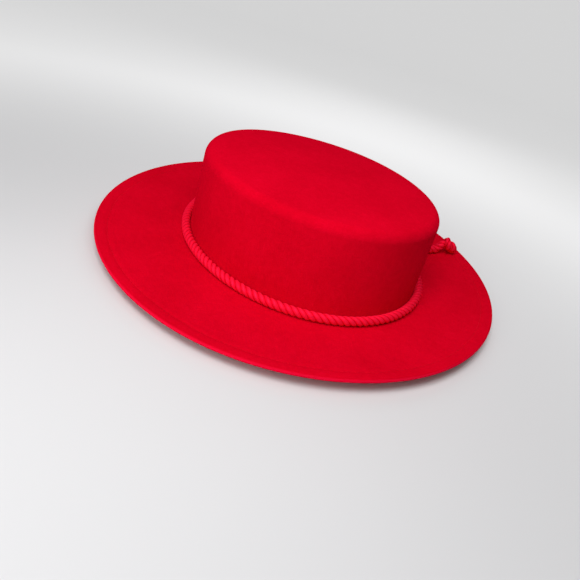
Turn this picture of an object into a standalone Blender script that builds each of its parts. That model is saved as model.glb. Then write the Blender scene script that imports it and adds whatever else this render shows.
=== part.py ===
"""Red felt hat with a low flat crown, a wide upswept brim with a turned edge, and a rope band with a knotted end.

Metres, +Z up. The origin is on the floor under the middle of the hat, +X is the front, +Y is the wearer's left.
The hat stands by itself on the flat ring of brim that goes round the head opening.
"""
import math

import bmesh
import bpy
import numpy as np
from mathutils import Vector

# Felt
WALL = 0.0020                # thickness of the felt
SEGMENTS = 72                # facets round the hat

# Crown, outer face
CROWN_LENGTH = 0.1980        # front to back where it meets the brim
CROWN_WIDTH = 0.1816         # side to side where it meets the brim
CROWN_HEIGHT = 0.0650        # from the brim's upper face to the top
TAPER_LENGTH = 0.0090        # how much shorter the top is than the base
TAPER_WIDTH = 0.0098         # how much narrower the top is than the base
TOP_ROUND = 0.0070           # radius of the top's edge
TOP_DOME = 0.0010            # rise of the top's middle over its edge
CORNER = 0.0026              # fillet between crown and brim

# Brim
BRIM_LENGTH = 0.3134         # front to back
BRIM_WIDTH = 0.3184          # side to side
RIM_LIFT = 0.0082            # how much higher the rim stands than the brim at the crown
REST_WIDTH = 0.0100          # flat ring that the hat stands on
UPSWEEP = 1.6                # exponent of the brim's rise
EDGE_THICK = 0.0030          # turned edge
EDGE_WIDTH = 0.0080          # width of the turned edge

# Rope
ROPE_DIAMETER = 0.0066
ROPE_SIDES = 10
GAP = 0.0003                 # clearance between pieces that touch
START_ANGLE = 69.0           # degrees from the front, where the rope's hidden end lies
LEAVE_ANGLE = 79.0           # where the other end leaves the crown
TAIL_HEADING = 62.0          # direction in which that end points
TAIL_HANDLE = 0.0160         # how slowly the tail turns away from the crown
KNOT_ANGLE = 68.5            # where the knot lies
KNOT_INSET = 0.0145          # from the rim in to the knot's middle
KNOT_LENGTH = 0.0165         # along the tail
KNOT_WIDTH = 0.0165
KNOT_HEIGHT = 0.0148
BAND_POINTS = 80
TAIL_POINTS = 12

FELT_RED = (0.62, 0.0, 0.012, 1.0)
ROPE_RED = (0.78, 0.004, 0.022, 1.0)

BASE = (CROWN_LENGTH / 2, CROWN_WIDTH / 2)
TOP = (BASE[0] - TAPER_LENGTH / 2, BASE[1] - TAPER_WIDTH / 2)
RIM = (BRIM_LENGTH / 2, BRIM_WIDTH / 2)
REST_SHARE = REST_WIDTH / (min(RIM[0] - BASE[0], RIM[1] - BASE[1]))


def material(name, colour, roughness):
    made = bpy.data.materials.new(name)
    made.use_nodes = True
    shader = made.node_tree.nodes["Principled BSDF"]
    shader.inputs["Base Color"].default_value = colour
    shader.inputs["Roughness"].default_value = roughness
    shader.inputs["Metallic"].default_value = 0.0
    return made


def brim_top(share):
    """Height of the brim's upper face, at a share of the way from the crown (0) to the rim (1)."""
    rise = max(0.0, share - REST_SHARE) / (1.0 - REST_SHARE)
    return WALL + RIM_LIFT * rise ** UPSWEEP


def wall_axes(height, inset):
    """Half axes of the crown's wall at a height over the brim's upper face, set in by an amount."""
    share = height / CROWN_HEIGHT
    return tuple(b + (t - b) * share - inset for b, t in zip(BASE, TOP))


def crown_rings(inset, ceiling, corner_rings):
    """Rings up one face of the crown, from the brim to near the middle of the top: (half x, half y, z)."""
    radius = TOP_ROUND - inset
    rings = list(corner_rings)
    low = rings[-1][2]
    high = ceiling - radius
    for share in (0.33, 0.67, 1.0):
        z = low + (high - low) * share
        rings.append((*wall_axes(z - WALL, inset), z))
    edge = wall_axes(high - WALL, inset)
    for step in range(1, 6):
        turn = math.radians(18.0 * step)
        pull = radius * (1.0 - math.cos(turn))
        rings.append((edge[0] - pull, edge[1] - pull, high + radius * math.sin(turn)))
    flat = (edge[0] - radius, edge[1] - radius)
    for share in (0.66, 0.33):
        rings.append((flat[0] * share, flat[1] * share, ceiling + TOP_DOME * (1.0 - share ** 2)))
    return rings


def brim_ring(share, drop):
    axes = [b + (r - b) * share for b, r in zip(BASE, RIM)]
    return (*axes, brim_top(share) - drop)


def edge_drop(share):
    """Distance from the brim's upper face to its lower face, which grows over the turned edge."""
    width = min(RIM[0] - BASE[0], RIM[1] - BASE[1])
    into = (share - (1.0 - EDGE_WIDTH / width)) / (EDGE_WIDTH / width)
    into = min(1.0, max(0.0, into))
    return WALL + (EDGE_THICK - WALL) * into * into * (3.0 - 2.0 * into)


def loft(name, rings, tops, colour):
    """A closed mesh through oval rings, from one pole to the other; tops holds the two poles' heights."""
    mesh = bpy.data.meshes.new(name)
    shape = bmesh.new()
    loops = []
    for half_x, half_y, z in rings:
        loop = []
        for i in range(SEGMENTS):
            turn = 2.0 * math.pi * i / SEGMENTS
            loop.append(shape.verts.new((half_x * math.cos(turn), half_y * math.sin(turn), z)))
        loops.append(loop)
    for lower, upper in zip(loops, loops[1:]):
        for i in range(SEGMENTS):
            j = (i + 1) % SEGMENTS
            shape.faces.new((lower[i], lower[j], upper[j], upper[i]))
    for loop, z in ((loops[0], tops[0]), (loops[-1], tops[1])):
        pole = shape.verts.new((0.0, 0.0, z))
        for i in range(SEGMENTS):
            shape.faces.new((pole, loop[i], loop[(i + 1) % SEGMENTS]))
    bmesh.ops.recalc_face_normals(shape, faces=shape.faces)
    shape.to_mesh(mesh)
    shape.free()
    mesh.shade_smooth()
    made = bpy.data.objects.new(name, mesh)
    made.data.materials.append(material(name, colour, 0.92))
    bpy.context.collection.objects.link(made)
    return made


def felt_body():
    """Crown and brim are one piece of felt, so the outer face runs over the rim into the inner face."""
    corner = []
    for step in range(0, 4):
        turn = math.radians(30.0 * step)
        out = CORNER * (1.0 - math.sin(turn))
        up = CORNER * (1.0 - math.cos(turn))
        axes = wall_axes(up, -out)
        corner.append((*axes, WALL + up))
    rings = crown_rings(0.0, WALL + CROWN_HEIGHT, corner)
    rings.reverse()
    shares = [0.10, REST_SHARE]
    rest = 1.0 - REST_SHARE
    shares += [REST_SHARE + rest * s for s in (0.2, 0.4, 0.6, 0.75, 0.85, 0.93)]
    rings += [brim_ring(s, 0.0) for s in shares]
    radius = EDGE_THICK / 2
    middle = brim_top(1.0) - radius
    for step in range(0, 7):
        turn = math.radians(90.0 - 30.0 * step)
        out = radius * (1.0 - math.cos(turn))
        rings.append((RIM[0] - out, RIM[1] - out, middle + radius * math.sin(turn)))
    rings += [brim_ring(s, edge_drop(s)) for s in reversed(shares)]
    inner = []
    for step in range(0, 4):
        turn = math.radians(30.0 * step)
        radius = CORNER + WALL
        out = radius * (1.0 - math.sin(turn))
        up = radius * (1.0 - math.cos(turn))
        axes = wall_axes(up, WALL - out)
        inner.append((*axes, up))
    rings += crown_rings(WALL, CROWN_HEIGHT, inner)
    return loft("felt_body", rings, (WALL + CROWN_HEIGHT + TOP_DOME, CROWN_HEIGHT + TOP_DOME), FELT_RED)


def band_point(degrees):
    """Centre of the rope where it lies in the corner of crown and brim, at an angle round the hat."""
    reach = ROPE_DIAMETER / 2 + GAP
    axes = wall_axes(reach, -reach)
    turn = math.radians(degrees)
    return Vector((axes[0] * math.cos(turn), axes[1] * math.sin(turn), WALL + reach))


def brim_share(point):
    """How far a point lies from the crown (0) to the rim (1), along the ray from the middle."""
    turn = math.atan2(point.y, point.x)
    inner = 1.0 / math.hypot(math.cos(turn) / BASE[0], math.sin(turn) / BASE[1])
    outer = 1.0 / math.hypot(math.cos(turn) / RIM[0], math.sin(turn) / RIM[1])
    return (math.hypot(point.x, point.y) - inner) / (outer - inner)


def knot_centre():
    turn = math.radians(KNOT_ANGLE)
    outer = 1.0 / math.hypot(math.cos(turn) / RIM[0], math.sin(turn) / RIM[1])
    far = outer - KNOT_INSET
    centre = Vector((far * math.cos(turn), far * math.sin(turn), 0.0))
    beside = centre * ((far + KNOT_WIDTH / 2) / far)
    low, high = (brim_top(brim_share(p)) for p in (centre, beside))
    centre.z = low + GAP + math.hypot(KNOT_HEIGHT / 2, high - low)
    return centre


def tail_points():
    """The rope's free end turns away from the crown and lies on the brim up to its knot."""
    heading = Vector((math.cos(math.radians(TAIL_HEADING)), math.sin(math.radians(TAIL_HEADING)), 0.0))
    first = band_point(LEAVE_ANGLE)
    along = (band_point(LEAVE_ANGLE - 1.0) - first).normalized()
    last = knot_centre() - heading * (KNOT_LENGTH / 2 + GAP)
    handles = (first, first + along * TAIL_HANDLE, last - heading * TAIL_HANDLE, last)
    points = []
    for i in range(1, TAIL_POINTS + 1):
        t = i / TAIL_POINTS
        shares = ((1 - t) ** 3, 3 * t * (1 - t) ** 2, 3 * t * t * (1 - t), t ** 3)
        point = sum((h * s for h, s in zip(handles, shares)), Vector())
        reach = ROPE_DIAMETER / 2 + GAP
        point.z = max(WALL + reach, brim_top(brim_share(point)) + reach * 1.03)
        points.append(point)
    return points


def rope_band():
    """One rope: from its hidden end clockwise round the crown, then out over the brim as the tail."""
    sweep = 360.0 - (LEAVE_ANGLE - START_ANGLE)
    points = [band_point(START_ANGLE - sweep * i / BAND_POINTS) for i in range(BAND_POINTS + 1)]
    points += tail_points()
    curve = bpy.data.curves.new("rope_band", "CURVE")
    curve.dimensions = "3D"
    curve.bevel_depth = ROPE_DIAMETER / 2
    curve.bevel_resolution = (ROPE_SIDES - 4) // 2
    curve.use_fill_caps = True
    spline = curve.splines.new("POLY")
    spline.points.add(len(points) - 1)
    spline.points.foreach_set("co", np.array([(*p, 1.0) for p in points]).ravel())
    made = bpy.data.objects.new("rope_band", curve)
    made.data.materials.append(material("rope_band", ROPE_RED, 0.45))
    bpy.context.collection.objects.link(made)
    return made


def rope_knot():
    """The outer shape of the stopper knot at the end of the tail."""
    bpy.ops.mesh.primitive_uv_sphere_add(segments=16, ring_count=10, radius=0.5)
    made = bpy.context.object
    made.name = made.data.name = "rope_knot"
    size = Vector((KNOT_LENGTH, KNOT_WIDTH, KNOT_HEIGHT))
    for vert in made.data.vertices:
        vert.co = Vector(c * s for c, s in zip(vert.co, size))
    made.data.shade_smooth()
    made.location = knot_centre()
    made.rotation_euler.z = math.radians(TAIL_HEADING)
    made.data.materials.append(material("rope_knot", ROPE_RED, 0.45))
    return made


def main():
    for old in list(bpy.data.objects):
        bpy.data.objects.remove(old, do_unlink=True)
    felt_body()
    rope_band()
    rope_knot()


main()
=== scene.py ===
"""A red felt hat with a flat crown, a wide upswept brim and a twisted rope band that ends in a stopper knot.

The hat stands by itself on a pale studio floor. Every new piece is a surface worked out with numpy from named
sizes, and each operator in the sidebar's Felt hat panel makes one of them again.
"""
import math

import bpy
import numpy as np
from mathutils import Matrix, Vector


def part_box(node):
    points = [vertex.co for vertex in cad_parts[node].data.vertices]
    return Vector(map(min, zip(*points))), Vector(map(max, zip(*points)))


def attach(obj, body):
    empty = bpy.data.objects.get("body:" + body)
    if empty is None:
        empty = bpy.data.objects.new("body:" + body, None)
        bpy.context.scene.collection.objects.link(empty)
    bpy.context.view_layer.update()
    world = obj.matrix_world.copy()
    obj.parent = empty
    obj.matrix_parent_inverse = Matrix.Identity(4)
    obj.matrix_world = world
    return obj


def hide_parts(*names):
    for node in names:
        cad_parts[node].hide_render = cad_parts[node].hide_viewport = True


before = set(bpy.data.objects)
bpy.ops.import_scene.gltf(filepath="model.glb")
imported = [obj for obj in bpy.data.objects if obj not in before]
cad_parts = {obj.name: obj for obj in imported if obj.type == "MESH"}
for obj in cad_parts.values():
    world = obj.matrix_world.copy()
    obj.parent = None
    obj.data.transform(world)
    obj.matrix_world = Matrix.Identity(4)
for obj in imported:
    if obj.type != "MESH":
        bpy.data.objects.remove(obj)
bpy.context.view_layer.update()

bl_info = {
    "name": "Felt hat with a rope band",
    "version": (1, 0, 0),
    "blender": (4, 5, 0),
    "location": "3D View > Sidebar > Felt hat",
    "description": "Makes a felt hat, its rope band with a stopper knot, its stitching and a studio floor",
    "category": "Object",
}

FELT_LOW, FELT_HIGH = (np.array(corner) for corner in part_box("felt_body"))
TURN = 2.0 * math.pi
BLACK, WHITE = (0.0, 0.0, 0.0, 1.0), (1.0, 1.0, 1.0, 1.0)

# Points round the felt, and rows of points over each stretch of it
FELT_COLUMNS = 320
TOP_ROWS, BEND_ROWS, WALL_ROWS, FOOT_ROWS = 16, 15, 16, 9
BRIM_ROWS, EDGE_ROWS, RIM_ROWS = 31, 52, 21

# On the brim: first ring from the crown, finer rows inside the stitching, start of the round rim, the width
# of the strip along the rim that is painted lighter as a highlight, and the share of the turned edge's relief
# that the lower face has
BRIM_START, EDGE_MARGIN, RIM_START = 0.0046, 0.0066, 0.0016
RIM_HIGHLIGHT_STRIP = 0.0009
UNDER_RELIEF = 0.7

# Step between points along the rope
PATH_STEP = 0.00055


def length(name, description, default):
    return bpy.props.FloatProperty(name=name, description=description, default=default, unit="LENGTH")


def colour(name, description, default):
    return bpy.props.FloatVectorProperty(
        name=name, description=description, default=(*default, 1.0), size=4, subtype="COLOR")


class HatSizes(bpy.types.PropertyGroup):
    """Sizes of the felt."""

    brim_length: length("Brim length", "Brim from front to back", float(FELT_HIGH[0] - FELT_LOW[0]))
    brim_width: length("Brim width", "Brim from side to side", float(FELT_HIGH[1] - FELT_LOW[1]))
    felt: length("Felt", "Thickness of the felt", 0.0020)
    crown_length: length("Crown length", "Crown from front to back where it meets the brim", 0.1980)
    crown_width: length("Crown width", "Crown from side to side where it meets the brim", 0.1816)
    crown_height: length("Crown height", "From the brim's upper face to the edge of the top", 0.0650)
    taper_length: length("Taper in length", "How much shorter the top is than the base", 0.0090)
    taper_width: length("Taper in width", "How much narrower the top is than the base", 0.0098)
    top_round: length("Top edge radius", "Radius of the edge of the crown's top", 0.0070)
    top_dome: length("Dome", "Rise of the middle of the top", 0.0010)
    corner: length("Corner radius", "Fillet between crown and brim", 0.0026)
    rim_lift: length("Rim lift", "Height of the rim over the brim at the crown", 0.0082)
    rest_width: length("Rest width", "Flat ring that the hat stands on", 0.0100)
    upsweep: bpy.props.FloatProperty(
        name="Upsweep", description="Exponent of the brim's rise towards the rim", default=1.6)
    edge_thick: length("Edge thickness", "Thickness of the turned edge", 0.0030)
    edge_width: length("Edge width", "Width of the turned edge up to its stitching", 0.0084)
    pillow: length("Pillow", "Height to which the turned edge swells", 0.00030)
    groove: length("Groove", "Depth to which the stitching pulls the felt in", 0.00020)
    wave: length("Wave", "How far the worked felt strays from a perfect form", 0.0005)


class RopeSizes(bpy.types.PropertyGroup):
    """Sizes of the rope and of the sewing thread."""

    diameter: length("Rope diameter", "Across the rope's strands", 0.0066)
    lay: length("Lay", "Length of one full turn of a strand", 0.0138)
    gap: length("Gap", "Clearance between the rope and the felt", 0.0002)
    start_angle: bpy.props.FloatProperty(
        name="Start", description="Where the rope's plain end lies, in degrees from the front", default=73.0)
    leave_angle: bpy.props.FloatProperty(
        name="Leave", description="Where the knotted end leaves the crown, in degrees from the front",
        default=79.0)
    heading: bpy.props.FloatProperty(
        name="Heading", description="Direction in which the knotted end points, in degrees", default=62.0)
    handle: length("Handle", "How slowly the knotted end turns away from the crown", 0.0130)
    knot_angle: bpy.props.FloatProperty(
        name="Knot angle", description="Where the knot lies, in degrees from the front", default=68.2)
    knot_inset: length("Knot inset", "From the rim in to the knot's middle", 0.0146)
    knot_draw: bpy.props.FloatProperty(
        name="Knot draw", description="How tightly the knot is drawn, as a share of the rope's diameter",
        default=0.65)
    knot_press: bpy.props.FloatProperty(
        name="Knot press", description="Share of its diameter that the rope keeps inside the knot",
        default=0.94)
    knot_roll: bpy.props.FloatProperty(
        name="Knot roll", description="Turn of the knot about the rope, in degrees", default=264.0)
    loosening: bpy.props.FloatProperty(
        name="Loosening", description="How much the strands swell just before the knot", default=1.16)
    stub: bpy.props.FloatProperty(
        name="Stub", description="Rope left over past the knot, in rope diameters", default=0.12)
    thread: length("Thread", "Diameter of the edge's sewing thread", 0.00032)
    stitch: length("Stitch", "Distance from one stitch of the edge to the next", 0.0030)


class HatColours(bpy.types.PropertyGroup):
    """Colours of the finishes, in linear light."""

    felt: colour("Felt", "Felt's own colour", (0.68, 0.0006, 0.014))
    felt_light: colour("Felt tips", "Fibre tips that catch the light", (0.80, 0.0020, 0.026))
    # Painted shade in the felt's low spots, mixed with random cloudiness.
    felt_depth_shade: colour("Felt depths", "Between the fibres", (0.52, 0.0002, 0.008))
    # Painted highlight: a lighter colour along the rim that stands in for light caught by the rounded edge.
    felt_rim_highlight: colour("Felt rim", "Fold of the brim's edge, rubbed smooth", (0.92, 0.0050, 0.040))
    rope: colour("Rope", "Rope's own colour", (1.0, 0.0038, 0.028))
    # Painted highlight on the strands' ridges.
    rope_ridge_highlight: colour("Rope ridges", "Filaments on the strands' ridges", (1.0, 0.0180, 0.080))
    # Painted shade in the grooves between the strands.
    rope_groove_shade: colour("Rope grooves", "Between the strands", (0.72, 0.0010, 0.014))
    floor: colour("Floor", "Studio floor", (0.72, 0.72, 0.73))


class StudioSettings(bpy.types.PropertyGroup):
    """Light and camera."""

    eye: bpy.props.FloatVectorProperty(
        name="Eye", description="Where the camera stands", subtype="TRANSLATION", size=3,
        default=(0.22542, -0.23504, 0.16972))
    right: bpy.props.FloatVectorProperty(
        name="Right", description="Direction of the picture's right side", subtype="DIRECTION", size=3,
        default=(0.58359, 0.77559, 0.24058))
    up: bpy.props.FloatVectorProperty(
        name="Up", description="Direction of the picture's top", subtype="DIRECTION", size=3,
        default=(-0.57111, 0.18140, 0.80058))
    lens: bpy.props.FloatProperty(
        name="Lens", description="Focal length on a 36 mm wide sensor, in millimetres", default=27.06)
    key: bpy.props.FloatProperty(
        name="Key light", description="Power of the lamp above the camera", unit="POWER", default=1.85)
    low: bpy.props.FloatProperty(
        name="Low light", description="Power of the lower lamp on the left", unit="POWER", default=0.8)
    side: bpy.props.FloatProperty(
        name="Side light", description="Power of the lamp high up on the right", unit="POWER", default=0.4)
    rear: bpy.props.FloatProperty(
        name="Back light", description="Power of the lamp behind the hat", unit="POWER", default=0.75)
    sky: bpy.props.FloatProperty(
        name="Sky", description="Strength of the even light from all round", default=0.14)
    backdrop: bpy.props.FloatProperty(
        name="Backdrop", description="How pale the floor looks where the lamps don't reach it", default=0.56)


# Felt: form

def ease(share):
    """S-shaped step from 0 to 1: share squared times (3 - 2 share)."""
    return share * share * (3.0 - 2.0 * share)


def oval_rings(half_x, half_y, height, segments):
    """Rings (half_x cos t, half_y sin t, height) for each entry of the three arrays, t going once round."""
    t = np.arange(segments) * (TURN / segments)
    x = np.outer(half_x, np.cos(t))
    y = np.outer(half_y, np.sin(t))
    z = np.repeat(np.asarray(height)[:, None], segments, axis=1)
    return np.stack([x, y, z], axis=-1)


def half_axes(sizes):
    """Half axes of the crown's base, of its top and of the rim."""
    base = np.array([sizes.crown_length, sizes.crown_width]) / 2
    top = base - np.array([sizes.taper_length, sizes.taper_width]) / 2
    rim = np.array([sizes.brim_length, sizes.brim_width]) / 2
    return base, top, rim


def brim_top(sizes, share):
    """Brim's upper face: flat over the rest ring, then felt + lift * rise ** upsweep, as rise goes 0 to 1."""
    base, _, rim = half_axes(sizes)
    rest = sizes.rest_width / float(np.min(rim - base))
    rise = np.clip((share - rest) / (1.0 - rest), 0.0, None)
    return sizes.felt + sizes.rim_lift * rise ** sizes.upsweep


def wall_axes(sizes, height, inset):
    """Half axes of the crown's wall, going in a straight line from base to top, less the inset."""
    base, top, _ = half_axes(sizes)
    share = np.asarray(height) / sizes.crown_height
    return tuple(b + (t - b) * share - inset for b, t in zip(base, top))


def oval_radius(axes, turn):
    """Distance from the middle to an oval along a ray: 1 / hypot(cos / a, sin / b)."""
    return 1.0 / np.hypot(np.cos(turn) / axes[0], np.sin(turn) / axes[1])


def brim_share(sizes, x, y):
    """Share of the way from the crown's base (0) to the rim (1), along the ray from the middle."""
    base, _, rim = half_axes(sizes)
    turn = np.arctan2(y, x)
    inner = oval_radius(base, turn)
    return (np.hypot(x, y) - inner) / (oval_radius(rim, turn) - inner)


def felt_wave(sizes, points):
    """Slow unevenness of blocked felt: sums of a few sines of the angle, growing towards the rim, on the
    wall and over the top. Both faces of the felt move alike, because it depends on place and not on face."""
    x, y, z = points[..., 0], points[..., 1], points[..., 2]
    turn = np.arctan2(y, x)
    share = np.clip(brim_share(sizes, x, y), 0.0, 1.0)
    calm, foot = 0.18, 0.010
    lift = np.clip((share - calm) / (1.0 - calm), 0.0, 1.0) ** 2
    out = lift * (1.15 * np.sin(2 * turn + 0.7) + 0.70 * np.sin(3 * turn + 2.4)
                  + 0.35 * np.sin(5 * turn + 4.1))
    climb = np.clip((z - foot) / (sizes.crown_height - foot), 0.0, 1.0)
    side = climb * (1.0 - 0.35 * climb) * (0.9 * np.sin(3 * turn + 1.3) + 0.5 * np.sin(4 * turn + 5.0)
                                           + 0.35 * np.sin(7 * turn + 2.0 + 40.0 * z))
    flat = 0.55 * np.sin(31.0 * x + 12.0 * y + 0.4) + 0.45 * np.sin(38.0 * y - 17.0 * x + 2.2)
    reach = np.hypot(x, y) + 1e-9
    moved = points.copy()
    on_top = climb ** 6
    moved[..., 0] += sizes.wave * side * x / reach * (1.0 - on_top)
    moved[..., 1] += sizes.wave * side * y / reach * (1.0 - on_top)
    moved[..., 2] += sizes.wave * (out + 0.7 * on_top * flat)
    return moved


def edge_relief(sizes, inward):
    """Height added over the turned edge, by distance in from the rim: a soft pillow up to the stitching, a
    narrow bell-shaped groove under it, and a low swelling on its inner side."""
    start, groove_width = 0.0014, 0.00110
    swell_place, swell_width, swell_height = sizes.edge_width + 0.0030, 0.0018, 0.00010
    pillow = np.sin(np.pi * np.clip((inward - start) / (sizes.edge_width - start), 0.0, 1.0))
    groove = np.exp(-((inward - sizes.edge_width) / groove_width) ** 2)
    swell = np.exp(-((inward - swell_place) / swell_width) ** 2)
    return sizes.pillow * pillow - sizes.groove * groove + swell_height * swell


def edge_thickness(sizes, inward):
    """The felt grows from its own thickness to the turned edge's with an S-shaped step at the stitching."""
    step = 0.0024
    into = np.clip((sizes.edge_width + step / 2 - inward) / step, 0.0, 1.0)
    return sizes.felt + (sizes.edge_thick - sizes.felt) * ease(into)


def crown_rings(sizes, inset, ceiling, corner, segments):
    """One face of the crown, from the middle of its top down to the brim: a dome falling with the square of
    the way out, a quarter round edge, a straight wall and a quarter round corner."""
    radius = sizes.top_round - inset
    high = ceiling - radius
    edge = np.array(wall_axes(sizes, high - sizes.felt, inset))
    spread = np.linspace(0.0, 1.0, TOP_ROWS)[1:, None]
    flat = np.hstack([(edge - radius) * spread, ceiling + sizes.top_dome * (1.0 - spread ** 2)])
    turn = np.linspace(np.pi / 2, 0.0, BEND_ROWS)[1:, None]
    bend = np.hstack([edge - radius * (1.0 - np.cos(turn)), high + radius * np.sin(turn)])
    turn = np.linspace(np.pi / 2, 0.0, FOOT_ROWS)[:, None]
    up = corner * (1.0 - np.cos(turn))
    foot = np.hstack([*wall_axes(sizes, up, inset - corner * (1.0 - np.sin(turn))), up + sizes.felt - inset])
    z = np.linspace(high, foot[0, 2], WALL_ROWS)[1:-1, None]
    wall = np.hstack([*wall_axes(sizes, z - sizes.felt, inset), z])
    rows = np.vstack([flat, bend, wall, foot])
    return oval_rings(rows[:, 0], rows[:, 1], rows[:, 2], segments)


def brim_rings(sizes, segments):
    """Upper face, round rim and lower face of the brim. Rings spread evenly from the crown out to the turned
    edge and then follow the rim at set distances; each point's height comes from its share of the way out."""
    base, _, rim = half_axes(sizes)
    zone = sizes.edge_width + EDGE_MARGIN
    start = base + BRIM_START
    spread = np.linspace(0.0, 1.0, BRIM_ROWS, endpoint=False)[:, None]
    inward = np.linspace(zone, RIM_START, EDGE_ROWS)
    axes = np.vstack([start + (rim - zone - start) * spread, rim - inward[:, None]])
    inward = np.concatenate([np.full(BRIM_ROWS, zone), inward])[:, None]
    upper = oval_rings(axes[:, 0], axes[:, 1], np.zeros(len(axes)), segments)
    lower = upper.copy()
    height = brim_top(sizes, np.clip(brim_share(sizes, upper[..., 0], upper[..., 1]), 0.0, 1.0))
    upper[..., 2] = height + edge_relief(sizes, inward)
    lower[..., 2] = height - edge_thickness(sizes, inward) - UNDER_RELIEF * edge_relief(sizes, inward)
    radius = sizes.edge_thick / 2
    middle = float(brim_top(sizes, np.array(1.0))) - radius
    turn = np.linspace(np.pi / 2, -np.pi / 2, RIM_ROWS)[1:-1]
    out = radius * (1.0 - np.cos(turn))
    bend = oval_rings(rim[0] - out, rim[1] - out, middle + radius * np.sin(turn), segments)
    return np.concatenate([upper, bend, lower[::-1]])


def felt_rings(sizes, segments):
    """The whole felt as one run of rings: outside of the crown, brim, and back along the inside."""
    outside = crown_rings(sizes, 0.0, sizes.felt + sizes.crown_height, sizes.corner, segments)
    inside = crown_rings(sizes, sizes.felt, sizes.crown_height, sizes.corner + sizes.felt, segments)
    return felt_wave(sizes, np.concatenate([outside, brim_rings(sizes, segments), inside[::-1]]))


def rim_nearness(sizes, points):
    """1 on the outermost line of the rim, falling in a straight line to 0 at the end of the strip painted
    with a highlight.
    """
    rim = half_axes(sizes)[-1]
    x, y = points[..., 0], points[..., 1]
    inward = oval_radius(rim, np.arctan2(y, x)) - np.hypot(x, y)
    return np.clip(1.0 - inward / RIM_HIGHLIGHT_STRIP, 0.0, 1.0)


def ring_quads(rows, columns):
    """Corners of the quads between neighbouring rings of a grid whose columns are joined round."""
    row, column = np.meshgrid(np.arange(rows - 1), np.arange(columns), indexing="ij")
    beside = (column + 1) % columns
    return np.stack([row * columns + column, (row + 1) * columns + column,
                     (row + 1) * columns + beside, row * columns + beside], axis=-1).reshape(-1, 4)


def pole_fan(pole, first, columns):
    """Corners of the triangles between a pole and a ring whose points start at first."""
    around = np.arange(columns)
    return np.column_stack([np.full(columns, pole), first + around, first + (around + 1) % columns])


def smooth_object(name, points, *faces):
    """A smooth object from an array of points and arrays of faces, one array for each number of corners."""
    mesh = bpy.data.meshes.new(name)
    mesh.vertices.add(len(points))
    mesh.vertices.foreach_set("co", points.astype(np.float32).ravel())
    corners = np.concatenate([part.ravel() for part in faces]).astype(np.int32)
    counts = np.concatenate([np.full(len(part), part.shape[1]) for part in faces])
    starts = np.concatenate([[0], np.cumsum(counts)[:-1]]).astype(np.int32)
    mesh.loops.add(len(corners))
    mesh.loops.foreach_set("vertex_index", corners)
    mesh.polygons.add(len(counts))
    mesh.polygons.foreach_set("loop_start", starts)
    mesh.update(calc_edges=True)
    mesh.validate()
    mesh.shade_smooth()
    made = bpy.data.objects.new(name, mesh)
    bpy.context.scene.collection.objects.link(made)
    return made


def closed_skin(name, rings, poles):
    """A closed mesh from a grid of rings (rows, columns, 3), its columns joined round and each end drawn
    together in one pole. Faces point outwards where the rows run from the top middle over the outside."""
    rows, columns = rings.shape[:2]
    count = rows * columns
    last = pole_fan(count + 1, count - columns, columns)[:, [0, 2, 1]]
    return smooth_object(name, np.vstack([rings.reshape(-1, 3), poles]),
                         ring_quads(rows, columns), pole_fan(count, 0, columns), last)


def point_values(made, name, values):
    """Keeps one number for each vertex under a name that the material reads."""
    layer = made.data.attributes.new(name, "FLOAT", "POINT")
    layer.data.foreach_set("value", np.asarray(values, dtype=np.float32).ravel())


# Rope: path and form

def run_along(line):
    """Length along a line up to each of its points."""
    return np.concatenate([[0.0], np.cumsum(np.linalg.norm(np.diff(line, axis=0), axis=1))])


def even_points(line, count):
    """Points spread evenly along a line."""
    run = run_along(line)
    even = np.linspace(0.0, run[-1], count)
    return np.stack([np.interp(even, run, line[:, k]) for k in range(3)], 1)


def tight_overhand():
    """Centreline of an overhand knot in a rope one unit thick, drawn tight along X.

    It starts from the loose curve (t^5 - 10t, t^3 - 3t, t^4 - 4t^2), cut into equal links. Each round pulls
    the two ends apart a little, straightens the links slightly, gives each its length back, and pushes apart
    any two stretches of rope that are nearer than a squeezed diameter.
    """
    count, squeezed, taut = 100, 0.88, 1.015
    rounds, repeats, pull, straighten, push_share = 330, 50, 0.03, 0.06, 0.15
    end, neighbours = 2.3, 1.5
    t = np.linspace(-end, end, 1500)
    fade = 1.2 * (1.0 - (t / end) ** 6)
    line = np.stack([0.10 * (t ** 5 - 10 * t), 0.85 * fade * (t ** 3 - 3 * t),
                     0.5 * fade * (t ** 4 - 4 * t ** 2)], 1)
    link = run_along(line)[-1] / (count - 1)
    line = even_points(line, count)
    one, other = np.triu_indices(count, int(math.ceil(neighbours / link)))
    for _ in range(rounds):
        line[0, 0] -= pull
        line[-1, 0] += pull
        for _ in range(repeats):
            line[1:-1] += straighten * ((line[:-2] + line[2:]) / 2 - line[1:-1])
            for start in (0, 1):
                near, far = line[start:-1:2], line[start + 1::2]
                pairs = min(len(near), len(far))
                near, far = near[:pairs], far[:pairs]
                span = far - near
                change = span * (1.0 - link / np.linalg.norm(span, axis=1, keepdims=True)) * 0.5
                near += change
                far -= change
            line[0, 1:] = 0.0
            line[-1, 1:] = 0.0
            apart = line[other] - line[one]
            reach = np.linalg.norm(apart, axis=1)
            close = reach < squeezed
            if close.any():
                push = apart[close] / reach[close, None] * (squeezed - reach[close])[:, None] * push_share
                moves = np.zeros_like(line)
                np.add.at(moves, one[close], -push)
                np.add.at(moves, other[close], push)
                line += moves
        stretch = np.linalg.norm(np.diff(line, axis=0), axis=1).mean() / link
        if stretch > taut:
            break
    return line


def smooth_path(points, step, passes):
    """Points at an even step along the line, each then averaged a few times with its two neighbours."""
    line = even_points(points, int(round(run_along(points)[-1] / step)) + 1)
    for _ in range(passes):
        line[1:-1] = 0.25 * line[:-2] + 0.5 * line[1:-1] + 0.25 * line[2:]
    return line


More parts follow.
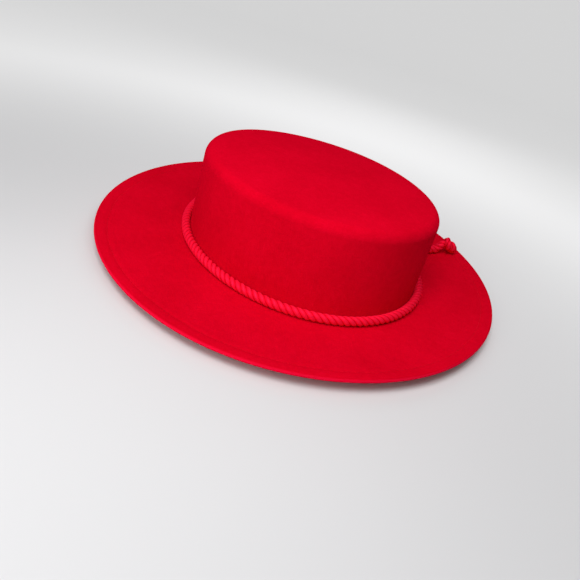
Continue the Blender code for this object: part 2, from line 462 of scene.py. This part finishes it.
def rope_route(sizes, rope):
    """Centreline of the rope and its share of the full diameter at each point: round the foot of the crown,
    out over the brim on a cubic curve, through the knot and out as a short stub."""
    band_points, tail_points, smoothing = 900, 90, 10
    knot_middle, before_knot, after_knot = 1.6, 1.75, 1.30
    reach = rope.diameter / 2 + rope.gap
    sweep = 360.0 - (rope.leave_angle - rope.start_angle)
    turn = np.radians(rope.start_angle - np.linspace(0.0, sweep, band_points))
    axes = wall_axes(sizes, reach, -reach)
    band = np.column_stack([axes[0] * np.cos(turn), axes[1] * np.sin(turn),
                            np.full(band_points, sizes.felt + reach)])

    drawn = rope.diameter * rope.knot_draw
    knot = tight_overhand()
    knot = knot - knot[np.abs(knot[:, 0]) < knot_middle].mean(axis=0)
    second_half = np.arange(len(knot)) > len(knot) // 2
    knot = knot[np.where(second_half, knot[:, 0] < after_knot + rope.stub, knot[:, 0] > -before_knot)]
    roll = math.radians(rope.knot_roll)
    heading = math.radians(rope.heading)
    ahead = np.array([math.cos(heading), math.sin(heading), 0.0])
    aside = np.array([-math.sin(heading), math.cos(heading), 0.0])
    across = knot[:, 1] * math.cos(roll) - knot[:, 2] * math.sin(roll)
    above = knot[:, 1] * math.sin(roll) + knot[:, 2] * math.cos(roll)
    upward = np.array([0.0, 0.0, 1.0])
    knot = drawn * (knot[:, :1] * ahead + across[:, None] * aside + above[:, None] * upward)
    angle = math.radians(rope.knot_angle)
    far = float(oval_radius(half_axes(sizes)[-1], angle)) - rope.knot_inset
    knot += np.array([far * math.cos(angle), far * math.sin(angle), 0.0])
    pressed = rope.diameter * rope.knot_press
    clear = knot[:, 2] - pressed / 2 - brim_top(sizes, brim_share(sizes, knot[:, 0], knot[:, 1]))
    knot[:, 2] += rope.gap - clear.min()

    leave = band[-1] - band[-2]
    leave /= np.linalg.norm(leave)
    enter = knot[3] - knot[0]
    enter /= np.linalg.norm(enter)
    t = np.linspace(0.0, 1.0, tail_points)[1:-1, None]
    first, last = band[-1], knot[0]
    tail = ((1 - t) ** 3 * first + 3 * t * (1 - t) ** 2 * (first + leave * rope.handle)
            + 3 * t * t * (1 - t) * (last - enter * rope.handle) + t ** 3 * last)
    lying = brim_top(sizes, brim_share(sizes, tail[:, 0], tail[:, 1])) + reach * rope.loosening
    lift_start = 0.86
    lift = np.clip((t[:, 0] - lift_start) / (1.0 - lift_start), 0.0, 1.0) ** 2
    tail[:, 2] = np.maximum(lying + (last[2] - lying[-1]) * lift, sizes.felt + reach)
    line = smooth_path(np.vstack([band, tail, knot]), PATH_STEP, smoothing)
    to_knot = np.arange(len(line))[::-1] * PATH_STEP - run_along(knot)[-1]
    loose_from, loose_over, press_from, press_over = 0.032, 0.022, 0.004, 0.006
    loose = ease(np.clip((loose_from - to_knot) / loose_over, 0.0, 1.0))
    press = ease(np.clip((press_from - to_knot) / press_over, 0.0, 1.0))
    share = 1.0 + (rope.loosening - 1.0) * loose * (1.0 - press) + (rope.knot_press - 1.0) * press
    return line, share


def path_frames(line):
    """Tangents and two side directions that turn as little as they can from point to point."""
    tangent = np.gradient(line, axis=0)
    tangent /= np.linalg.norm(tangent, axis=1, keepdims=True)
    side = np.empty_like(tangent)
    current = np.cross(tangent[0], (0.0, 0.0, 1.0))
    for i, direction in enumerate(tangent):
        current = current - direction * (current @ direction)
        current = current / np.linalg.norm(current)
        side[i] = current
    return tangent, side, np.cross(tangent, side)


def strand_section(columns):
    """Section of three soft strands laid together: the outer line of three circles whose middles lie 0.33 of
    the radius out. Gives for each column its angle, its reach, and how far out of the groove it lies."""
    angle = np.arange(columns) * (TURN / columns)
    off = (angle + TURN / 6) % (TURN / 3) - TURN / 6
    out = 0.33
    reach = out * np.cos(off) + np.sqrt((1.0 - out) ** 2 - (out * np.sin(off)) ** 2)
    return angle, reach, (reach - reach.min()) / (1.0 - reach.min())


def rope_skin(name, line, share, rope, columns=45):
    """The three-strand section carried along the path, turned right-handed once in each lay. Its columns go
    round the path the other way from the felt's, so the faces are turned over to point outwards."""
    tangent, side, over = path_frames(line)
    run = run_along(line)
    angle, reach, ridge = strand_section(columns)
    rounding, blunt, tip = 0.0012, 0.65, 0.0004
    sway, sway_rate = 0.018, 510.0
    ends = np.clip(np.minimum(run, run[-1] - run) / rounding, 0.0, 1.0)
    cap = blunt + (1.0 - blunt) * np.sqrt(np.clip(1.0 - (1.0 - ends) ** 2, 0.0, 1.0))
    size = rope.diameter / 2 * share * cap
    spin = run / rope.lay * TURN
    theta = angle[None, :] + spin[:, None]
    strand = np.floor(angle * 3 / TURN + 0.5) % 3
    loose = 1.0 + sway * np.sin(run[:, None] * sway_rate + 3.0 * strand[None, :])
    far = size[:, None] * reach[None, :] * loose
    rings = (line[:, None, :] + far[..., None] * (np.cos(theta)[..., None] * side[:, None, :]
                                                  + np.sin(theta)[..., None] * over[:, None, :]))
    poles = np.stack([line[0] - tangent[0] * tip, line[-1] + tangent[-1] * tip])
    made = closed_skin(name, rings, poles)
    made.data.flip_normals()
    # The ridge values mask the painted shade in the grooves and the painted highlight on the ridges.
    ridges = np.broadcast_to(ridge, far.shape)
    point_values(made, "ridge", np.concatenate([ridges.ravel(), [0.3, 0.3]]))
    point_values(made, "run", np.concatenate([np.repeat(run, columns), [0.0, run[-1]]]))
    around = np.broadcast_to(angle, far.shape)
    point_values(made, "around_cos", np.concatenate([np.cos(around).ravel(), [1.0, 1.0]]))
    point_values(made, "around_sin", np.concatenate([np.sin(around).ravel(), [0.0, 0.0]]))
    return made


# Stitching

def stitch_row(name, sizes, rope, sides=6, rows=7):
    """Two rows of short stitches, above and below the groove of the turned edge. Each is a tube bent in a
    flat arch, sin(pi s) high, whose two ends sink into the felt."""
    filled, sunk, risen, end_share = 0.86, 0.7, 1.3, 0.55
    axes = half_axes(sizes)[-1] - sizes.edge_width
    count = int(TURN * float(np.mean(axes)) / rope.stitch)
    t = (np.arange(count) * (TURN / count))[:, None]
    s = np.linspace(0.0, 1.0, rows)[None, :]
    angle = t + (s - 0.5) * (TURN / count) * filled
    x, y = axes[0] * np.cos(angle), axes[1] * np.sin(angle)
    height = brim_top(sizes, brim_share(sizes, x, y))
    relief = float(edge_relief(sizes, np.array(sizes.edge_width)))
    arch = np.sin(np.pi * s) ** 0.7
    thick = rope.thread / 2
    lines = []
    under = height - float(edge_thickness(sizes, np.array(sizes.edge_width))) - UNDER_RELIEF * relief
    for level, way in ((height + relief, 1.0), (under, -1.0)):
        z = level + way * thick * (arch * risen - sunk)
        lines.append(felt_wave(sizes, np.stack([x, y, z], axis=-1)))
    centre = np.concatenate(lines)
    tangent = np.gradient(centre, axis=1)
    tangent /= np.linalg.norm(tangent, axis=-1, keepdims=True)
    side = np.cross(tangent, np.array([0.0, 0.0, 1.0]))
    side /= np.linalg.norm(side, axis=-1, keepdims=True)
    over = np.cross(tangent, side)
    turn = np.arange(sides) * (TURN / sides)
    full = thick * (end_share + (1.0 - end_share) * np.sin(np.pi * s) ** 0.5)[..., None, None]
    rings = centre[:, :, None, :] + full * (np.cos(turn)[:, None] * side[:, :, None, :]
                                            + np.sin(turn)[:, None] * over[:, :, None, :])
    first = np.arange(len(rings))[:, None] * rows * sides
    quads = (first[..., None] + ring_quads(rows, sides)[:, ::-1]).reshape(-1, 4)
    start_caps = first + np.arange(sides)[::-1]
    end_caps = first + (rows - 1) * sides + np.arange(sides)
    return smooth_object(name, rings.reshape(-1, 3), quads, start_caps, end_caps)


# Finishes

def set_inputs(node, values):
    for key, value in values.items():
        node.inputs[key].default_value = value


def add_node(tree, kind, place, inputs=None, **settings):
    node = tree.nodes.new(kind)
    node.location = place
    for key, value in settings.items():
        setattr(node, key, value)
    set_inputs(node, inputs or {})
    return node


def linker(tree):
    """A function that joins an output of one node to an input of another, each given by name or number."""
    def link(source, output, target, socket):
        tree.links.new(source.outputs[output], target.inputs[socket])
    return link


def new_group(name, inputs, outputs):
    """An empty shader group with named sockets: (name, socket kind, default)."""
    tree = bpy.data.node_groups.new(name, "ShaderNodeTree")
    for label, kind, default in inputs:
        socket = tree.interface.new_socket(name=label, in_out="INPUT", socket_type=kind)
        if default is not None:
            socket.default_value = default
    for label, kind in outputs:
        tree.interface.new_socket(name=label, in_out="OUTPUT", socket_type=kind)
    return tree, add_node(tree, "NodeGroupInput", (-900, 0)), add_node(tree, "NodeGroupOutput", (900, 0))


def shared_group(name, build):
    """The shader group of this name, built the first time that a material asks for it."""
    return bpy.data.node_groups.get(name) or build(name)


def matted_fibres(name):
    """Group: wool fibres lying every way. Three stretched noises, one along each axis and all bent by a
    coarse noise, give the fibres; two rounder noises give clumps and broad cloudiness."""
    tree, given, out = new_group(
        name,
        [("Vector", "NodeSocketVector", None), ("Fibre Scale", "NodeSocketFloat", 700.0),
         ("Clump Scale", "NodeSocketFloat", 260.0), ("Cloud Scale", "NodeSocketFloat", 26.0),
         ("Base", "NodeSocketColor", (0.7, 0.0, 0.01, 1.0)),
         ("Light", "NodeSocketColor", (0.8, 0.0, 0.02, 1.0)),
         ("Dark", "NodeSocketColor", (0.5, 0.0, 0.01, 1.0)),
         ("Tips", "NodeSocketFloat", 1.0), ("Depths", "NodeSocketFloat", 1.0)],
        [("Color", "NodeSocketColor"), ("Height", "NodeSocketFloat"), ("Roughness", "NodeSocketFloat")])
    link = linker(tree)
    bend = add_node(tree, "ShaderNodeTexNoise", (-700, -260), {"Scale": 190.0, "Detail": 2.0})
    link(given, "Vector", bend, "Vector")
    centred = add_node(
        tree, "ShaderNodeVectorMath", (-540, -260), {1: (0.5, 0.5, 0.5)}, operation="SUBTRACT")
    link(bend, "Color", centred, 0)
    pull = add_node(tree, "ShaderNodeVectorMath", (-400, -260), {"Scale": 0.0060}, operation="SCALE")
    link(centred, "Vector", pull, 0)
    bent = add_node(tree, "ShaderNodeVectorMath", (-260, -160), operation="ADD")
    link(given, "Vector", bent, 0)
    link(pull, "Vector", bent, 1)
    strands = []
    for i, stretch in enumerate(((0.16, 1.0, 1.0), (1.0, 0.16, 1.0), (1.0, 1.0, 0.16))):
        squash = add_node(
            tree, "ShaderNodeVectorMath", (-100, 200 - 180 * i), {1: stretch}, operation="MULTIPLY")
        link(bent, "Vector", squash, 0)
        noise = add_node(
            tree, "ShaderNodeTexNoise", (60, 200 - 180 * i), {"Detail": 3.0, "Roughness": 0.62})
        link(squash, "Vector", noise, "Vector")
        link(given, "Fibre Scale", noise, "Scale")
        strands.append(noise)
    most = add_node(tree, "ShaderNodeMath", (230, 120), operation="MAXIMUM")
    link(strands[0], "Fac", most, 0)
    link(strands[1], "Fac", most, 1)
    fibres = add_node(tree, "ShaderNodeMath", (380, 60), operation="MAXIMUM")
    link(most, "Value", fibres, 0)
    link(strands[2], "Fac", fibres, 1)
    clump = add_node(tree, "ShaderNodeTexNoise", (60, -380), {"Detail": 4.0})
    link(given, "Vector", clump, "Vector")
    link(given, "Clump Scale", clump, "Scale")
    cloud = add_node(tree, "ShaderNodeTexNoise", (60, -560), {"Detail": 3.0})
    link(given, "Vector", cloud, "Vector")
    link(given, "Cloud Scale", cloud, "Scale")
    height = add_node(tree, "ShaderNodeMath", (540, 120), {1: 0.55}, operation="MULTIPLY_ADD")
    link(clump, "Fac", height, 0)
    link(fibres, "Value", height, 2)
    # Painted highlight: where the fibre noise is high, the fibre tips are mixed towards the lighter colour.
    tips = add_node(tree, "ShaderNodeMapRange", (540, -60), {"From Min": 0.52, "From Max": 0.80})
    link(fibres, "Value", tips, "Value")
    tipped = add_node(tree, "ShaderNodeMath", (700, -60), operation="MULTIPLY")
    link(tips, "Result", tipped, 0)
    link(given, "Tips", tipped, 1)
    lighter = add_node(tree, "ShaderNodeMix", (700, -240), data_type="RGBA")
    link(tipped, "Value", lighter, "Factor")
    link(given, "Base", lighter, "A")
    link(given, "Light", lighter, "B")
    # Painted shade in the low spots: darker where the clump noise sinks the bump, together with random
    # cloudiness from the broad noise.
    both = add_node(tree, "ShaderNodeMath", (300, -480), {1: 0.6}, operation="MULTIPLY_ADD")
    link(clump, "Fac", both, 0)
    link(cloud, "Fac", both, 2)
    depth = add_node(tree, "ShaderNodeMapRange", (460, -480), {"From Min": 0.95, "From Max": 0.62})
    link(both, "Value", depth, "Value")
    deep = add_node(tree, "ShaderNodeMath", (620, -480), operation="MULTIPLY")
    link(depth, "Result", deep, 0)
    link(given, "Depths", deep, 1)
    shade = add_node(tree, "ShaderNodeMix", (860, -240), data_type="RGBA")
    link(deep, "Value", shade, "Factor")
    link(lighter, "Result", shade, "A")
    link(given, "Dark", shade, "B")
    rough = add_node(tree, "ShaderNodeMapRange", (700, 260), {"To Min": 0.98, "To Max": 0.82})
    link(fibres, "Value", rough, "Value")
    out.location = (1080, 0)
    link(shade, "Result", out, "Color")
    link(height, "Value", out, "Height")
    link(rough, "Result", out, "Roughness")
    return tree


def spun_filaments(name):
    """Group: fine filaments along a rope. A noise is stretched along the run and wound on a circle of the
    angle round the rope, so that the lines keep their way round it without a seam."""
    tree, given, out = new_group(
        name,
        [("Run", "NodeSocketFloat", 0.0), ("Around Cos", "NodeSocketFloat", 1.0),
         ("Around Sin", "NodeSocketFloat", 0.0), ("Lines", "NodeSocketFloat", 9.0),
         ("Stretch", "NodeSocketFloat", 120.0)],
        [("Lines", "NodeSocketFloat"), ("Height", "NodeSocketFloat")])
    link = linker(tree)
    along = add_node(tree, "ShaderNodeMath", (-600, 200), operation="MULTIPLY")
    link(given, "Run", along, 0)
    link(given, "Stretch", along, 1)
    sides = []
    for i, label in enumerate(("Around Cos", "Around Sin")):
        part = add_node(tree, "ShaderNodeMath", (-600, -60 - 180 * i), operation="MULTIPLY")
        link(given, label, part, 0)
        link(given, "Lines", part, 1)
        sides.append(part)
    place = add_node(tree, "ShaderNodeCombineXYZ", (-400, 0))
    link(along, "Value", place, "X")
    link(sides[0], "Value", place, "Y")
    link(sides[1], "Value", place, "Z")
    noise = add_node(
        tree, "ShaderNodeTexNoise", (-200, 0), {"Scale": 1.0, "Detail": 3.0, "Roughness": 0.6})
    link(place, "Vector", noise, "Vector")
    spread = add_node(tree, "ShaderNodeMapRange", (0, 0), {"From Min": 0.3, "From Max": 0.7})
    link(noise, "Fac", spread, "Value")
    link(spread, "Result", out, "Lines")
    link(noise, "Fac", out, "Height")
    return tree


def new_finish(name):
    """A new material, with its tree and its Principled BSDF."""
    old = bpy.data.materials.get(name)
    if old:
        bpy.data.materials.remove(old)
    made = bpy.data.materials.new(name)
    made.use_nodes = True
    return made, made.node_tree, made.node_tree.nodes["Principled BSDF"]


def add_nap(tree, inputs):
    """The matted fibres, placed by the object's own coordinates."""
    place = add_node(tree, "ShaderNodeTexCoord", (-900, 0))
    nap = add_node(tree, "ShaderNodeGroup", (-600, 0), inputs,
                   node_tree=shared_group("Matted fibres", matted_fibres))
    tree.links.new(place.outputs["Object"], nap.inputs["Vector"])
    return nap


def add_bump(tree, shader, height, strength, distance):
    """Turns a height into the shader's normal."""
    bump = add_node(tree, "ShaderNodeBump", (-260, -290), {"Strength": strength, "Distance": distance})
    tree.links.new(height, bump.inputs["Height"])
    tree.links.new(bump.outputs["Normal"], shader.inputs["Normal"])


def felt_finish(colours):
    """Matte wool felt: matted fibres in colour, height and roughness, a painted highlight along the rim and a
    soft sheen.
    """
    made, tree, shader = new_finish("felt_nap")
    link = linker(tree)
    nap = add_nap(tree, {"Fibre Scale": 760.0, "Clump Scale": 240.0, "Cloud Scale": 24.0,
                         "Base": colours.felt, "Light": colours.felt_light, "Dark": colours.felt_depth_shade,
                         "Tips": 0.62, "Depths": 0.42})
    rim = add_node(tree, "ShaderNodeAttribute", (-600, 240), attribute_name="rim")
    # Painted highlight: the strip along the rim is mixed towards the lighter rim colour.
    painted_rim_highlight = add_node(tree, "ShaderNodeMix", (-260, 120), {"B": colours.felt_rim_highlight}, data_type="RGBA")
    link(rim, "Fac", painted_rim_highlight, "Factor")
    link(nap, "Color", painted_rim_highlight, "A")
    link(painted_rim_highlight, "Result", shader, "Base Color")
    link(nap, "Roughness", shader, "Roughness")
    add_bump(tree, shader, nap.outputs["Height"], strength=0.70, distance=0.00035)
    set_inputs(shader, {"Specular IOR Level": 0.0, "Sheen Weight": 0.22, "Sheen Roughness": 0.6,
                        "Sheen Tint": (1.0, 0.002, 0.045, 1.0)})
    return made


def rope_finish(colours):
    """Satiny cord: ridges painted lighter as highlights, grooves painted darker as shade, and fine filaments
    that run with the rope.
    """
    made, tree, shader = new_finish("rope_satin")
    link = linker(tree)
    spun = add_node(tree, "ShaderNodeGroup", (-820, 120), {"Lines": 8.0, "Stretch": 140.0},
                    node_tree=shared_group("Spun filaments", spun_filaments))
    for i, socket in enumerate(("Run", "Around Cos", "Around Sin")):
        value = add_node(tree, "ShaderNodeAttribute", (-1100, 300 - 180 * i),
                         attribute_name=socket.lower().replace(" ", "_"))
        link(value, "Fac", spun, socket)
    ridge = add_node(tree, "ShaderNodeAttribute", (-1100, -240), attribute_name="ridge")
    grooves = add_node(tree, "ShaderNodeMapRange", (-820, -240), {"From Min": 0.0, "From Max": 0.40})
    link(ridge, "Fac", grooves, "Value")
    # Painted shade: the grooves between the strands are mixed towards the darker colour.
    body = add_node(tree, "ShaderNodeMix", (-560, -120),
                    {"A": colours.rope_groove_shade, "B": colours.rope}, data_type="RGBA")
    link(grooves, "Result", body, "Factor")
    # Painted highlight: the ridges are mixed towards the lighter colour along the filament lines.
    shine = add_node(tree, "ShaderNodeMath", (-560, 120), operation="MULTIPLY")
    link(ridge, "Fac", shine, 0)
    link(spun, "Lines", shine, 1)
    lit = add_node(tree, "ShaderNodeMix", (-340, 0), {"B": colours.rope_ridge_highlight}, data_type="RGBA")
    link(shine, "Value", lit, "Factor")
    link(body, "Result", lit, "A")
    rough = add_node(tree, "ShaderNodeMapRange", (-340, 220), {"To Min": 0.46, "To Max": 0.30})
    link(spun, "Lines", rough, "Value")
    link(lit, "Result", shader, "Base Color")
    link(rough, "Result", shader, "Roughness")
    add_bump(tree, shader, spun.outputs["Height"], strength=0.5, distance=0.00025)
    set_inputs(shader, {"Metallic": 0.14, "Specular IOR Level": 0.0, "Specular Tint": (1.0, 0.01, 0.06, 1.0),
                        "Sheen Weight": 0.45, "Sheen Roughness": 0.35, "Sheen Tint": (1.0, 0.006, 0.06, 1.0)})
    return made


def thread_finish(colours):
    """Red sewing thread, a little glossier than the felt round it and darker, through painted shade in its
    low spots mixed with random cloudiness.
    """
    made, tree, shader = new_finish("edge_thread")
    # The matted fibres paint highlights on the thread's fibre tips and shade in its low spots at full
    # strength.
    nap = add_nap(tree, {"Fibre Scale": 2600.0, "Clump Scale": 900.0, "Base": colours.felt,
                         "Light": colours.rope, "Dark": colours.felt_depth_shade})
    tree.links.new(nap.outputs["Color"], shader.inputs["Base Color"])
    add_bump(tree, shader, nap.outputs["Height"], strength=0.4, distance=0.00008)
    set_inputs(shader, {"Roughness": 0.6, "Specular IOR Level": 0.3, "Specular Tint": (1.0, 0.14, 0.2, 1.0)})
    return made


def floor_finish(colours, studio):
    """Pale paper with a very faint cloudiness. A glow keeps it as pale far from the hat as under the lamps,
    growing from 0.16 m to 0.74 m from the middle of the picture. It is seen but lights nothing."""
    made, tree, shader = new_finish("studio_paper")
    link = linker(tree)
    place = add_node(tree, "ShaderNodeTexCoord", (-700, 0))
    noise = add_node(tree, "ShaderNodeTexNoise", (-500, 0), {"Scale": 3.0})
    link(place, "Object", noise, "Vector")
    cloudy = (*(0.97 * c for c in colours.floor[:3]), 1.0)
    mix = add_node(tree, "ShaderNodeMix", (-260, 0), {"A": colours.floor, "B": cloudy}, data_type="RGBA")
    link(noise, "Fac", mix, "Factor")
    link(mix, "Result", shader, "Base Color")
    away = add_node(tree, "ShaderNodeVectorMath", (-500, -260),
                    {1: (0.10, -0.23, 0.0)}, operation="DISTANCE")
    link(place, "Object", away, 0)
    far = add_node(tree, "ShaderNodeMapRange", (-340, -260), {"From Min": 0.16, "From Max": 0.74},
                   interpolation_type="SMOOTHSTEP")
    link(away, "Value", far, "Value")
    seen = add_node(tree, "ShaderNodeLightPath", (-340, -520))
    both = add_node(tree, "ShaderNodeMath", (-160, -300), operation="MULTIPLY")
    link(far, "Result", both, 0)
    link(seen, "Is Camera Ray", both, 1)
    glow = add_node(tree, "ShaderNodeMix", (0, -300), {"A": BLACK, "B": WHITE}, data_type="RGBA")
    link(both, "Value", glow, "Factor")
    link(glow, "Result", shader, "Emission Color")
    set_inputs(shader, {"Emission Strength": studio.backdrop, "Roughness": 0.95, "Specular IOR Level": 0.1})
    return made


def aim(eye, target):
    """Turn that points an object's -Z from the eye to the target."""
    return (Vector(target) - Vector(eye)).to_track_quat("-Z", "Y").to_euler()


# Operators

class HAT_OT_felt(bpy.types.Operator):
    """Makes the felt of crown and brim as one closed skin with a turned edge"""

    bl_idname = "hat.felt"
    bl_label = "Felt body"

    def execute(self, context):
        sizes = context.scene.hat_sizes
        rings = felt_rings(sizes, FELT_COLUMNS)
        poles = np.array([[0.0, 0.0, sizes.felt + sizes.crown_height + sizes.top_dome],
                          [0.0, 0.0, sizes.crown_height + sizes.top_dome]])
        made = closed_skin("felt_shell", rings, felt_wave(sizes, poles))
        # The rim values mask the painted highlight along the rim.
        point_values(made, "rim", np.concatenate([rim_nearness(sizes, rings).ravel(), [0.0, 0.0]]))
        made.data.materials.append(felt_finish(context.scene.hat_colours))
        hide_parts("felt_body")
        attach(made, "root")
        return {"FINISHED"}


class HAT_OT_rope(bpy.types.Operator):
    """Lays the rope round the crown and ties its end in an overhand knot on the brim"""

    bl_idname = "hat.rope"
    bl_label = "Rope and knot"

    def execute(self, context):
        sizes, rope = context.scene.hat_sizes, context.scene.hat_rope
        line, share = rope_route(sizes, rope)
        made = rope_skin("rope_twist", line, share, rope)
        made.data.materials.append(rope_finish(context.scene.hat_colours))
        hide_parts("rope_band", "rope_knot")
        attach(made, "root")
        return {"FINISHED"}


class HAT_OT_stitching(bpy.types.Operator):
    """Sews the turned edge down with a row of stitches on each face of the brim"""

    bl_idname = "hat.stitching"
    bl_label = "Edge stitching"

    def execute(self, context):
        sizes, rope = context.scene.hat_sizes, context.scene.hat_rope
        made = stitch_row("edge_stitches", sizes, rope)
        made.data.materials.append(thread_finish(context.scene.hat_colours))
        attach(made, "root")
        return {"FINISHED"}


class HAT_OT_studio(bpy.types.Operator):
    """Sets up the pale floor, the soft light and the camera"""

    bl_idname = "hat.studio"
    bl_label = "Studio"

    def execute(self, context):
        scene = context.scene
        studio = scene.hat_studio
        flat, sweep, wall_heights, steps = 2.2, 0.8, [1.2, 1.7], 24
        turn = np.linspace(np.pi / 2, 0.0, steps)[1:]
        reach = np.concatenate([np.linspace(0.05, flat, steps), flat + sweep * np.cos(turn),
                                [flat + sweep, flat + sweep]])
        height = np.concatenate([np.zeros(steps), sweep - sweep * np.sin(turn), wall_heights])
        rings = oval_rings(reach, reach, height, 96)[:, ::-1]
        rows, columns = rings.shape[:2]
        points = np.vstack([rings.reshape(-1, 3), [[0.0, 0.0, 0.0]]])
        floor = smooth_object("studio_floor", points, ring_quads(rows, columns),
                              pole_fan(rows * columns, 0, columns))
        floor.data.materials.append(floor_finish(scene.hat_colours, studio))

        eye = np.array(studio.eye)
        right, up = np.array(studio.right), np.array(studio.up)
        back = np.cross(right, up)
        side_on = math.atan2(back[1], back[0])
        hat_middle = np.array([0.0, 0.0, 0.03])

        def around(turn, rise, far):
            """Point at a distance from the hat, turned from the camera's side and raised, both in degrees."""
            a, e = side_on + math.radians(turn), math.radians(rise)
            level = math.cos(e)
            return hat_middle + far * np.array([math.cos(a) * level, math.sin(a) * level, math.sin(e)])

        lamps = (("key_light", studio.key, 0.3, around(-14, 58, 0.55)),
                 ("low_light", studio.low, 0.3, around(-30, 24, 0.55)),
                 ("side_light", studio.side, 0.3, around(60, 75, 0.5)),
                 ("back_light", studio.rear, 0.5, around(170, 40, 0.8)))
        for name, power, size, place in lamps:
            light = bpy.data.lights.new(name, "AREA")
            light.shape = "DISK"
            light.size = size
            light.energy = power
            lamp = bpy.data.objects.new(name, light)
            lamp.location = place
            lamp.rotation_euler = aim(place, hat_middle)
            lamp.visible_camera = False
            scene.collection.objects.link(lamp)
        world = bpy.data.worlds.new("studio_sky")
        world.use_nodes = True
        tree = world.node_tree
        seen = add_node(tree, "ShaderNodeLightPath", (-500, 0))
        strength = add_node(tree, "ShaderNodeMapRange", (-250, 0),
                            {"To Min": studio.sky, "To Max": studio.backdrop + studio.sky})
        tree.links.new(seen.outputs["Is Camera Ray"], strength.inputs["Value"])
        tree.links.new(strength.outputs["Result"], tree.nodes["Background"].inputs["Strength"])
        tree.nodes["Background"].inputs["Color"].default_value = WHITE
        scene.world = world
        scene.view_settings.view_transform = "Standard"
        scene.view_settings.look = "None"

        camera = bpy.data.cameras.new("photo_camera")
        camera.sensor_width = 36.0
        camera.lens = studio.lens
        camera.clip_start = 0.01
        eye_piece = bpy.data.objects.new("photo_camera", camera)
        columns = np.column_stack([right, up, back, eye])
        eye_piece.matrix_world = Matrix(np.vstack([columns, [0.0, 0.0, 0.0, 1.0]]).tolist())
        scene.collection.objects.link(eye_piece)
        scene.camera = eye_piece
        return {"FINISHED"}


class HAT_PT_panel(bpy.types.Panel):
    """Lists the steps that make the hat, with its main sizes and colours"""

    bl_idname = "HAT_PT_panel"
    bl_label = "Felt hat"
    bl_space_type = "VIEW_3D"
    bl_region_type = "UI"
    bl_category = "Felt hat"

    def draw(self, context):
        layout = self.layout
        for name in ("hat.felt", "hat.rope", "hat.stitching", "hat.studio"):
            layout.operator(name)
        for group in (context.scene.hat_sizes, context.scene.hat_rope, context.scene.hat_colours,
                      context.scene.hat_studio):
            box = layout.box()
            for name in group.bl_rna.properties.keys():
                if name not in ("rna_type", "name"):
                    box.prop(group, name)


CLASSES = (HatSizes, RopeSizes, HatColours, StudioSettings, HAT_OT_felt, HAT_OT_rope, HAT_OT_stitching,
           HAT_OT_studio, HAT_PT_panel)


def register():
    for made in CLASSES:
        bpy.utils.register_class(made)
    bpy.types.Scene.hat_sizes = bpy.props.PointerProperty(type=HatSizes)
    bpy.types.Scene.hat_rope = bpy.props.PointerProperty(type=RopeSizes)
    bpy.types.Scene.hat_colours = bpy.props.PointerProperty(type=HatColours)
    bpy.types.Scene.hat_studio = bpy.props.PointerProperty(type=StudioSettings)


def unregister():
    del bpy.types.Scene.hat_studio
    del bpy.types.Scene.hat_colours
    del bpy.types.Scene.hat_rope
    del bpy.types.Scene.hat_sizes
    for made in reversed(CLASSES):
        bpy.utils.unregister_class(made)


def main():
    register()
    bpy.ops.hat.felt()
    bpy.ops.hat.rope()
    bpy.ops.hat.stitching()
    bpy.ops.hat.studio()


if __name__ == "__main__":
    main()
